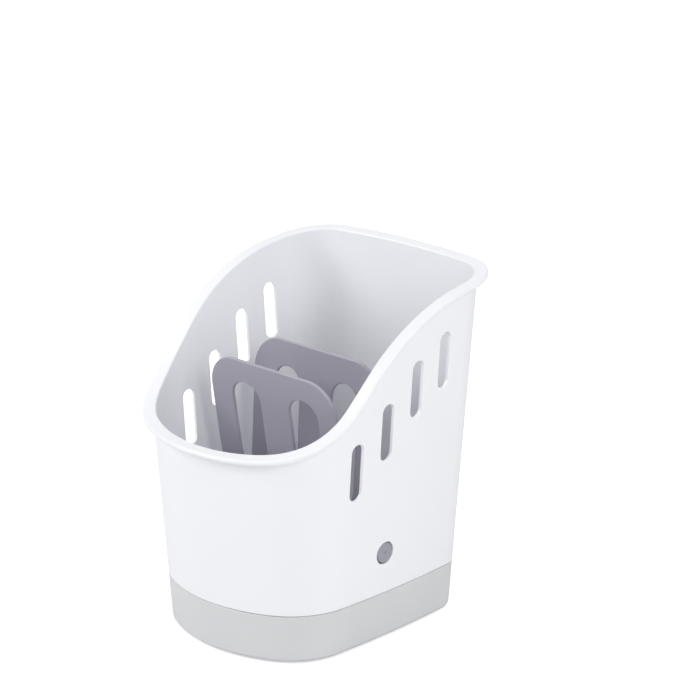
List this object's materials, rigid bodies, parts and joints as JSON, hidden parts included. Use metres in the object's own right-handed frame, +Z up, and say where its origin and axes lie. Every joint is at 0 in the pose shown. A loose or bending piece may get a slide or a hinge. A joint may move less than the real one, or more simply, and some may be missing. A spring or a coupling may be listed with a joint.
{
  "type": "kitchen sink caddy",
  "caption": "Free-standing sink caddy: a D-shaped tub with a sweeping rolled rim and slotted sides stands on a drip tray, with a slotted sponge cradle that tilts on side pins",
  "frame": {"origin": "centre of the overall box in plan, on the surface that the feet stand on", "axes": "+X to the right seen from the low front, +Y to the high back, +Z up"},
  "size_m": [0.1482, 0.1681, 0.1911],
  "materials": {
    "tub_white": "gloss",
    "tray_grey": "satin",
    "cradle_grey": "satin",
    "foot_rubber": "matte"
  },
  "bodies": {
    "base": {"drip_tray": "tray_grey", "foot_front_left": "foot_rubber", "foot_front_right": "foot_rubber", "foot_rear_left": "foot_rubber", "foot_rear_right": "foot_rubber"},
    "tub": {"tub": "tub_white"},
    "cradle": {"sponge_cradle": "cradle_grey", "pivot_pin_left": "cradle_grey", "pivot_pin_right": "cradle_grey"}
  },
  "joints": [
    {"name": "tub_lift", "type": "slide", "parent": "base", "child": "tub", "axis": [0, 0, 1], "range_m": [0, 0.04]},
    {"name": "cradle_tilt", "type": "hinge", "parent": "tub", "child": "cradle", "pos_m": [0, -0.0008, 0.0505], "axis": [1, 0, 0], "range_deg": [-39, 28]}
  ]
}
